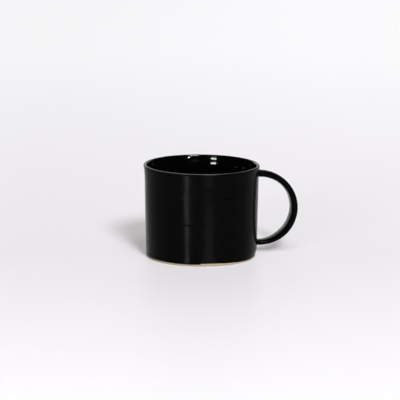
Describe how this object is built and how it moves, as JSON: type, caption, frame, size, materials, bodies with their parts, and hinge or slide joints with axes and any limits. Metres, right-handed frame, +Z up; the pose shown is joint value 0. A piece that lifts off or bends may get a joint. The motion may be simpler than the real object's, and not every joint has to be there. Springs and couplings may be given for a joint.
{
  "type": "coffee mug",
  "caption": "Straight-sided stoneware coffee mug with a round strap handle, satin black outside and glossy black inside, with a thin lip and a bare clay foot.",
  "frame": {"origin": "centre of the flat bare foot, on the mug's axis", "axes": "+Z up along the mug's axis, +X out along the middle of the handle"},
  "size_m": [0.1265, 0.0936, 0.0749],
  "materials": {
    "bare_clay": "bare fired stoneware, matt and slightly gritty",
    "satin_glaze": "satin black glaze",
    "gloss_glaze": "glossy black liner glaze"
  },
  "bodies": {
    "root": {"clay_body": "bare_clay", "handle_strap": "bare_clay", "upper_slip_joint": "bare_clay", "lower_slip_joint": "bare_clay", "outer_glaze": "satin_glaze", "liner_glaze": "gloss_glaze"}
  },
  "joints": []
}
